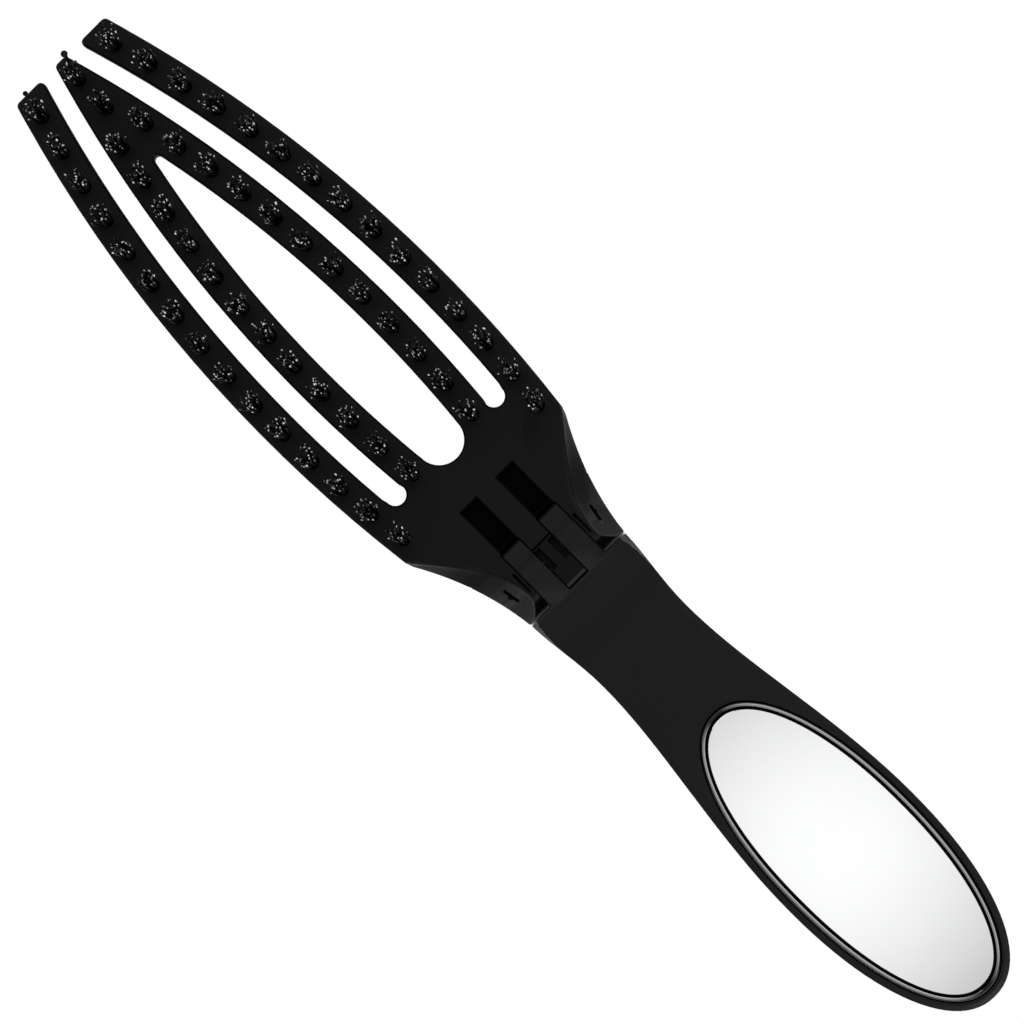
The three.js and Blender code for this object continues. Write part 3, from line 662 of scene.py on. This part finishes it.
def slice_neck_sides(work):
    """Level and crosswise cuts through the neck, so that its curved sides have even faces to shade."""
    hinge_y = hinge_centre().y
    for step in range(1, 12):
        geometry = [*work.verts, *work.edges, *work.faces]
        place = Vector((0.0, 0.0, step * LEVEL_STEP))
        bmesh.ops.bisect_plane(work, geom=geometry, dist=MERGE, plane_co=place, plane_no=(0.0, 0.0, 1.0))
    for step in range(-4, 18):
        near = [face for face in work.faces if abs(face.calc_center_median().y - hinge_y) < NECK_REACH]
        geometry = list({*near, *(edge for face in near for edge in face.edges)})
        geometry += list({corner for face in near for corner in face.verts})
        place = Vector((0.0, hinge_y + step * CROSS_STEP, 0.0))
        bmesh.ops.bisect_plane(work, geom=geometry, dist=MERGE, plane_co=place, plane_no=(0.0, 1.0, 0.0))


def cut_or_join(piece, other, operation):
    change = piece.modifiers.new(operation.lower(), "BOOLEAN")
    change.operation = operation
    change.object = other
    change.solver = "EXACT"


def make_head(centres):
    """The head as one moulding: the frame with whole limbs, a hole for each tuft and rounded edges."""
    head = new_object("head_moulding", to_mesh(merged_copy("head_frame"), "head_moulding"))
    tools = [limb_slice(name) for name in BRISTLE_NODES]
    for tool in tools:
        cut_or_join(head, tool, "UNION")
    cutters = [tuft_holes(centres), pin_end_slots()]
    for cutter in cutters:
        cut_or_join(head, cutter, "DIFFERENCE")
    baked(head)
    for tool in tools + cutters:
        bpy.data.objects.remove(tool)
    work = bmesh.new()
    work.from_mesh(head.data)
    bmesh.ops.remove_doubles(work, verts=work.verts, dist=MERGE)
    clear_flats(work)
    slice_neck_sides(work)
    work.to_mesh(head.data)
    work.free()
    round_edges(head, MOULD_EDGE)
    even_out_sides(head)
    return finish_piece(head, BLACK, "head", "black_plastic", "head_frame")


def strand_tree():
    """Geometry nodes: on each point, a round bunch of thin tapered strands that splay towards their tips."""
    tree, given, result = new_group(
        "bunch of strands",
        "GeometryNodeTree",
        [
            ("Geometry", "NodeSocketGeometry", None),
            ("Strands", "NodeSocketInt", 40),
            ("Root radius", "NodeSocketFloat", 0.001),
            ("Tip radius", "NodeSocketFloat", 0.0017),
            ("Length", "NodeSocketFloat", 0.011),
            ("Length spread", "NodeSocketFloat", 0.1),
            ("Thickness", "NodeSocketFloat", 0.0001),
            ("Ball", "NodeSocketFloat", 0.0),
            ("Lean across", "NodeSocketFloat", 0.0),
            ("Lean along", "NodeSocketFloat", 0.0),
            ("Seed", "NodeSocketInt", 1),
            ("Material", "NodeSocketMaterial", None),
        ],
        [("Geometry", "NodeSocketGeometry")],
    )
    copies = add_node(
        tree,
        "GeometryNodeDuplicateElements",
        {"domain": "POINT"},
        Geometry=given.outputs["Geometry"],
        Amount=given.outputs["Strands"],
    )

    def random_between(low, high, offset):
        seed = maths(tree, "ADD", given.outputs["Seed"], float(offset))
        node = add_node(tree, "FunctionNodeRandomValue", {"data_type": "FLOAT"})
        node.inputs[2].default_value = low
        node.inputs[3].default_value = high
        tree.links.new(seed, node.inputs["Seed"])
        return node.outputs[1]

    angle = random_between(0.0, 2 * math.pi, 0)
    reach = maths(tree, "SQRT", random_between(0.0, 1.0, 11))
    radius = maths(tree, "MULTIPLY", reach, given.outputs["Root radius"])
    across = maths(tree, "MULTIPLY", radius, maths(tree, "COSINE", angle))
    up = maths(tree, "MULTIPLY", radius, maths(tree, "SINE", angle))
    offset = add_node(tree, "ShaderNodeCombineXYZ", X=across, Y=up).outputs[0]
    placed = add_node(tree, "GeometryNodeSetPosition", Geometry=copies.outputs[0], Offset=offset)
    growth = maths(tree, "DIVIDE", given.outputs["Tip radius"], given.outputs["Root radius"])
    splay = maths(tree, "DIVIDE", maths(tree, "SUBTRACT", growth, 1.0), given.outputs["Length"])
    sway_x = maths(tree, "ADD", given.outputs["Lean across"], random_between(-STRAND_SWAY, STRAND_SWAY, 23))
    lean_x = maths(tree, "ADD", maths(tree, "MULTIPLY", across, splay), sway_x)
    sway_y = maths(tree, "ADD", given.outputs["Lean along"], random_between(-STRAND_SWAY, STRAND_SWAY, 37))
    lean_y = maths(tree, "ADD", maths(tree, "MULTIPLY", up, splay), sway_y)
    lean = add_node(tree, "ShaderNodeCombineXYZ", X=lean_x, Y=lean_y, Z=1.0).outputs[0]
    turn = add_node(tree, "FunctionNodeAlignRotationToVector", {"axis": "Z"}, Vector=lean).outputs[0]
    shorter = maths(tree, "MULTIPLY", random_between(0.0, 1.0, 41), given.outputs["Length spread"])
    length = maths(tree, "MULTIPLY", given.outputs["Length"], maths(tree, "SUBTRACT", 1.0, shorter))
    shaft = add_node(
        tree,
        "GeometryNodeMeshCone",
        Vertices=5,
        Side_Segments=3,
        Radius_Top=1.1,
        Radius_Bottom=1.0,
        Depth=1.0,
    ).outputs["Mesh"]
    size = add_node(
        tree, "ShaderNodeCombineXYZ", X=given.outputs["Thickness"], Y=given.outputs["Thickness"], Z=length
    ).outputs[0]
    shafts = add_node(
        tree,
        "GeometryNodeInstanceOnPoints",
        Points=placed.outputs[0],
        Instance=shaft,
        Rotation=turn,
        Scale=size,
    )
    ball = add_node(tree, "GeometryNodeMeshUVSphere", Segments=10, Rings=7, Radius=1.0).outputs["Mesh"]
    direction = add_node(tree, "ShaderNodeVectorMath", {"operation": "NORMALIZE"}, in0=lean).outputs[0]
    tip = add_node(
        tree,
        "ShaderNodeVectorMath",
        {"operation": "SCALE"},
        in0=direction,
        Scale=length,
    ).outputs[0]
    tip_points = add_node(tree, "GeometryNodeSetPosition", Geometry=placed.outputs[0], Offset=tip)
    balls = add_node(
        tree,
        "GeometryNodeInstanceOnPoints",
        Points=tip_points.outputs[0],
        Instance=ball,
        Scale=given.outputs["Ball"],
    )
    has_ball = add_node(
        tree,
        "FunctionNodeCompare",
        {"operation": "GREATER_THAN"},
        in0=given.outputs["Ball"],
        in1=0.0,
    )
    chosen = add_node(tree, "GeometryNodeSwitch", {"input_type": "GEOMETRY"}, Switch=has_ball.outputs[0])
    tree.links.new(balls.outputs[0], chosen.inputs["True"])
    joined = tree.nodes.new("GeometryNodeJoinGeometry")
    tree.links.new(shafts.outputs[0], joined.inputs[0])
    tree.links.new(chosen.outputs[0], joined.inputs[0])
    real = add_node(tree, "GeometryNodeRealizeInstances", Geometry=joined.outputs[0]).outputs[0]
    smooth = add_node(tree, "GeometryNodeSetShadeSmooth", Geometry=real).outputs[0]
    coated = add_node(tree, "GeometryNodeSetMaterial", Geometry=smooth, Material=given.outputs["Material"])
    tree.links.new(coated.outputs[0], result.inputs["Geometry"])
    return tree


STRAND_TREE = strand_tree()


def grow_strands(name, spots, **settings):
    """Grows bunches of strands on the given points and leaves them as a plain mesh."""
    mesh = bpy.data.meshes.new(name)
    mesh.from_pydata([tuple(spot) for spot in spots], [], [])
    piece = new_object(name, mesh)
    grown = piece.modifiers.new("strands", "NODES")
    grown.node_group = STRAND_TREE
    wanted = {key.replace("_", " "): value for key, value in settings.items()}
    for item in STRAND_TREE.interface.items_tree:
        if item.in_out == "INPUT" and item.name in wanted:
            grown[item.identifier] = wanted[item.name]
    return baked(piece)


def make_tufts(centres):
    """Dark bristle and ball-tipped pins in each hole, as pieces for each strip of the frame."""
    last_row = max(spot.y for spot in centres) - ROW_DEPTH
    for index, name in enumerate(BRISTLE_NODES):
        floor = [spot - Vector((0.0, 0.0, HOLE_DEPTH)) for spot in centres if strip_of(spot) == name]
        bristles = grow_strands(
            name.replace("_bristles", "_tufts"),
            floor,
            Strands=BRISTLES_PER_TUFT,
            Root_radius=TUFT_ROOT_RADIUS,
            Tip_radius=TUFT_TIP_RADIUS,
            Length=BRISTLE_LENGTH + HOLE_DEPTH,
            Length_spread=BRISTLE_SPREAD,
            Thickness=BRISTLE_THICKNESS,
            Lean_along=BRISTLE_LEAN,
            Seed=BRISTLE_SEED + index,
            Material=BRISTLE,
        )
        finish_piece(bristles, BRISTLE, "head", "bristle", name)
        others = [spot for spot in floor if spot.y <= last_row]
        make_pins(name, "_ball_pins", others, PIN_LEAN, PIN_THICKNESS, PIN_BALL, PIN_SEED + index)
        ends = [spot for spot in floor if spot.y > last_row]
        if not ends:
            continue
        side = finger_side(ends[0])
        thickness = PIN_THICKNESS if side else CENTRE_PIN_THICKNESS
        ball = PIN_BALL if side else CENTRE_PIN_BALL
        make_pins(name, "_tip_pins", ends, TIP_PIN_LEANS[side], thickness, ball, PIN_SEED + index)


def make_pins(strip, part, spots, lean, thickness, ball, seed):
    """One ball-tipped pin for each of the given tufts of a strip."""
    pins = grow_strands(
        strip.replace("_bristles", part),
        spots,
        Strands=1,
        Root_radius=PIN_ROOT_RADIUS,
        Tip_radius=PIN_TIP_RADIUS,
        Length=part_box(strip)[1].z - plate_top + HOLE_DEPTH - ball,
        Length_spread=PIN_SPREAD,
        Thickness=thickness,
        Ball=ball,
        Lean_across=lean[0],
        Lean_along=lean[1],
        Seed=seed,
        Material=NYLON,
    )
    finish_piece(pins, NYLON, "head", "bristle")


# The handle and its mirror


def dressed_copy(node, name, width, material, body, slot_name):
    """A CAD node with small moulded radii on its edges."""
    work = merged_copy(node)
    clear_flats(work)
    piece = new_object(name, to_mesh(work, name))
    round_edges(piece, width)
    if node == "handle_front_shell":
        even_out_sides(piece)
    return finish_piece(piece, material, body, slot_name, node)


def oval_point(half_width, half_length, centre, index):
    """A point of an oval that is a little fuller than an ellipse."""
    angle = 2 * math.pi * index / OVAL_SIDES
    power = 2 / OVAL_FULLNESS
    cosine = math.cos(angle)
    sine = math.sin(angle)
    return (
        centre.x + half_width * math.copysign(abs(cosine) ** power, cosine),
        centre.y + half_length * math.copysign(abs(sine) ** power, sine),
    )


def oval_rings(name, half_width, half_length, centre, profile, closed, sharp):
    """Sweeps (outward, height) points round an oval; closed joins the last of them to the first."""
    work = bmesh.new()
    rings = []
    for out, height in profile:
        ring = [
            work.verts.new((*oval_point(half_width + out, half_length + out, centre, i), height))
            for i in range(OVAL_SIDES)
        ]
        rings.append(ring)
    pairs = list(zip(rings, rings[1:]))
    if closed:
        pairs.append((rings[-1], rings[0]))
    for low, high in pairs:
        for i in range(OVAL_SIDES):
            j = (i + 1) % OVAL_SIDES
            work.faces.new((low[i], low[j], high[j], high[i]))
    if not closed:
        work.faces.new(list(reversed(rings[0])))
        work.faces.new(rings[-1])
    bmesh.ops.recalc_face_normals(work, faces=work.faces)
    mesh = to_mesh(work, name)
    for polygon in mesh.polygons:
        polygon.use_smooth = True
    mesh.set_sharp_from_angle(angle=math.radians(sharp))
    return new_object(name, mesh)


def make_mirror():
    """The glass with its ground edge, and the glossy ring round it with a fine raised bead."""
    low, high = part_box("mirror_glass")
    centre = (low + high) / 2
    half_width = (high.x - low.x) / 2
    half_length = (high.y - low.y) / 2
    glass = oval_rings(
        "mirror",
        half_width,
        half_length,
        centre,
        [(0.0, low.z), (0.0, high.z - GLASS_EDGE), (-GLASS_EDGE, high.z)],
        closed=False,
        sharp=8,
    )
    finish_piece(glass, MIRROR, "handle", "silvered_glass", "mirror_glass")
    ring_low, ring_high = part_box("mirror_bezel")
    wide = (ring_high.x - ring_low.x) / 2 - half_width
    top = ring_high.z
    foot = top - BEAD_HEIGHT
    trough = high.z + GLASS_BELOW_FRONT - TROUGH_BELOW_FRONT
    ring = oval_rings(
        "mirror_ring",
        half_width,
        half_length,
        centre,
        [
            (RING_GAP, ring_low.z),
            (wide, ring_low.z),
            (wide, trough + 0.03 * MM),
            (BEAD_PLACE + BEAD_HALF_WIDTH, trough),
            (BEAD_PLACE + BEAD_HALF_WIDTH, foot),
            (BEAD_PLACE + BEAD_TOP_HALF_WIDTH, top),
            (BEAD_PLACE - BEAD_TOP_HALF_WIDTH, top),
            (BEAD_PLACE - BEAD_HALF_WIDTH, foot),
            (RING_GAP, trough - INNER_TROUGH_DEPTH),
        ],
        closed=True,
        sharp=20,
    )
    finish_piece(ring, GLOSS_BLACK, "handle", "gloss_black", "mirror_bezel")


def paint_nodes(material, *names):
    """Gives CAD nodes that are shown as they are a finish of the scene."""
    for name in names:
        slots = nodes[name].data.materials
        slots.clear()
        slots.append(material)


def make_handle():
    dressed_copy("handle_front_shell", "handle_front", HANDLE_EDGE, LIT_HANDLE_BLACK, "handle", "black_plastic")
    dressed_copy("handle_back_shell", "handle_back", HANDLE_EDGE, LIT_HANDLE_BLACK, "handle", "black_plastic")
    make_mirror()
    paint_nodes(BUSH, "left_hinge_bush", "right_hinge_bush")
    paint_nodes(TAPE, "mirror_adhesive_pad")


def make_hinge_parts():
    dressed_copy("release_tab", "press_tab", TAB_EDGE, LIT_TAB_BLACK, "tab", "tab_plastic")
    dressed_copy("hinge_pin", "pin_of_hinge", PIN_EDGE, SHADED_PIN_STEEL, "head", "pin_steel")
    dressed_copy("neck_back_cover", "back_cover", COVER_EDGE, BLACK, "head", "black_plastic")
    paint_nodes(SHADED_SPRING_STEEL, "left_detent_spring", "right_detent_spring")


# Studio


def away_from_hinge(tree):
    """A mask that is 0 on the patch of floor under the hinge and 1 outside it."""
    middle = tuple(hinge_centre() + FLOOR_SHADE_PLACE)
    offset = add_node(
        tree,
        "ShaderNodeVectorMath",
        {"operation": "SUBTRACT"},
        in0=object_place(tree),
        in1=middle,
    ).outputs[0]
    parts = add_node(tree, "ShaderNodeSeparateXYZ", Vector=offset)
    masks = []
    for axis, reach in enumerate(FLOOR_SHADE_SIZE):
        distance = maths(tree, "ABSOLUTE", parts.outputs[axis])
        masks.append(mapped(tree, distance, From_Min=reach - FLOOR_SHADE_FADE, From_Max=reach))
    return maths(tree, "MAXIMUM", *masks)


def floor_material():
    """Pale floor that the camera looks through to the white world, except in the shade under the hinge."""
    material, tree, shader = new_material("pale_floor")
    shader.inputs["Roughness"].default_value = 0.9
    shader.inputs["Specular IOR Level"].default_value = 0.1
    path = add_node(tree, "ShaderNodeLightPath")
    closed_in = add_node(
        tree,
        "ShaderNodeAmbientOcclusion",
        {"samples": 16},
        Distance=FLOOR_SHADE_REACH,
    ).outputs["AO"]
    lit = mapped(tree, closed_in, From_Min=FLOOR_OPENNESS[0], From_Max=FLOOR_OPENNESS[1])
    outside = away_from_hinge(tree)
    open_part = maths(tree, "MAXIMUM", lit, outside)
    tone = mapped(tree, open_part, To_Min=FLOOR_TONES[0], To_Max=FLOOR_TONES[1])
    tree.links.new(tone, shader.inputs["Base Color"])
    shader.inputs["Emission Color"].default_value = (1.0, 1.0, 1.0, 1.0)
    reflected = maths(tree, "MULTIPLY", path.outputs["Is Glossy Ray"], outside)
    tree.links.new(maths(tree, "MULTIPLY", reflected, FLOOR_GLOW), shader.inputs["Emission Strength"])
    clear = add_node(tree, "ShaderNodeBsdfTransparent").outputs[0]
    seen_through = maths(tree, "MULTIPLY", path.outputs["Is Camera Ray"], open_part)
    mixed = add_node(tree, "ShaderNodeMixShader", in0=seen_through, in1=shader.outputs[0], in2=clear)
    tree.links.new(mixed.outputs[0], tree.nodes["Material Output"].inputs["Surface"])
    return material


def make_floor():
    mesh = bpy.data.meshes.new("floor")
    low = CAD_BOX[0][2] - FLOOR_DROP
    signs = ((-1, -1), (1, -1), (1, 1), (-1, 1))
    corners = [(x * FLOOR_REACH, y * FLOOR_REACH, low) for x, y in signs]
    mesh.from_pydata(corners, [], [(0, 1, 2, 3)])
    floor = new_object("floor", mesh)
    mesh.materials.append(floor_material())


def make_world():
    """White for the camera, a card and two panels for reflections, and soft light for all the rest."""
    world = bpy.data.worlds.new("studio")
    bpy.context.scene.world = world
    world.use_nodes = True
    tree = world.node_tree
    background = tree.nodes["Background"]
    path = add_node(tree, "ShaderNodeLightPath")
    direction = add_node(tree, "ShaderNodeTexCoord").outputs["Generated"]
    centre = Vector(CARD_DIRECTION).normalized()
    facing = add_node(
        tree,
        "ShaderNodeVectorMath",
        {"operation": "DOT_PRODUCT"},
        in0=direction,
        in1=centre,
    ).outputs["Value"]
    card = mapped(
        tree,
        facing,
        From_Min=math.cos(CARD_REACH),
        From_Max=1.0,
        To_Min=CARD_BRIGHTNESS[0],
        To_Max=CARD_BRIGHTNESS[1],
    )
    parts = add_node(tree, "ShaderNodeSeparateXYZ", Vector=direction)
    raised = maths(tree, "COMPARE", parts.outputs[2], (PANEL_LOW + PANEL_HIGH) / 2)
    raised.node.inputs[2].default_value = (PANEL_HIGH - PANEL_LOW) / 2
    sideways = maths(tree, "ABSOLUTE", parts.outputs[0])
    shape = mapped(tree, sideways, From_Min=PANEL_REACH[0], From_Max=PANEL_REACH[1])
    on_right = maths(tree, "GREATER_THAN", parts.outputs[0], 0.0)
    strength = mapped(tree, on_right, To_Min=PANEL_BRIGHTNESS[0], To_Max=PANEL_BRIGHTNESS[1])
    panel = maths(tree, "MULTIPLY", raised, maths(tree, "MULTIPLY", shape, strength))
    glossy = path.outputs["Is Glossy Ray"]
    reflected = maths(tree, "MULTIPLY", glossy, maths(tree, "MAXIMUM", card, panel))
    shown = maths(tree, "MAXIMUM", path.outputs["Is Camera Ray"], reflected)
    soft = maths(tree, "MULTIPLY", maths(tree, "SUBTRACT", 1.0, glossy), SOFT_LIGHT)
    tree.links.new(maths(tree, "MAXIMUM", shown, soft), background.inputs["Strength"])
    background.inputs["Color"].default_value = (1.0, 1.0, 1.0, 1.0)


def make_lamp(name, place, size, power):
    """A soft rectangular lamp that faces the brush."""
    light = bpy.data.lights.new(name, "AREA")
    light.shape = "RECTANGLE"
    light.size, light.size_y = size
    light.energy = power
    lamp = new_object(name, light)
    lamp.location = place
    lamp.rotation_euler = (-Vector(place)).to_track_quat("-Z", "Y").to_euler()


def make_camera():
    """A camera that looks down at the view's centre from a little toward the handle."""
    data = bpy.data.cameras.new("camera")
    data.sensor_width = SENSOR
    data.lens = SENSOR * math.hypot(CAMERA_BACK, CAMERA_HEIGHT) / VIEW_WIDTH
    data.clip_start = 0.01
    data.clip_end = 20.0
    camera = new_object("camera", data)
    camera.location = VIEW_CENTRE + Vector((0.0, -CAMERA_BACK, CAMERA_HEIGHT))
    tilt = Matrix.Rotation(math.atan2(CAMERA_BACK, CAMERA_HEIGHT), 4, "X")
    camera.rotation_euler = (tilt @ Matrix.Rotation(CAMERA_TURN, 4, "Z")).to_euler()
    bpy.context.scene.camera = camera


def make_studio():
    make_floor()
    make_world()
    make_lamp("soft_key", place=(-0.10, -1.05, 0.26), size=(0.9, 0.4), power=12.0)
    make_lamp("soft_fill", place=(0.25, 0.35, 1.0), size=(0.8, 0.8), power=4.5)
    make_camera()


bpy.context.scene.view_settings.view_transform = "Standard"

tufts = tuft_centres()
make_head(tufts)
make_tufts(tufts)
make_handle()
make_hinge_parts()
make_studio()
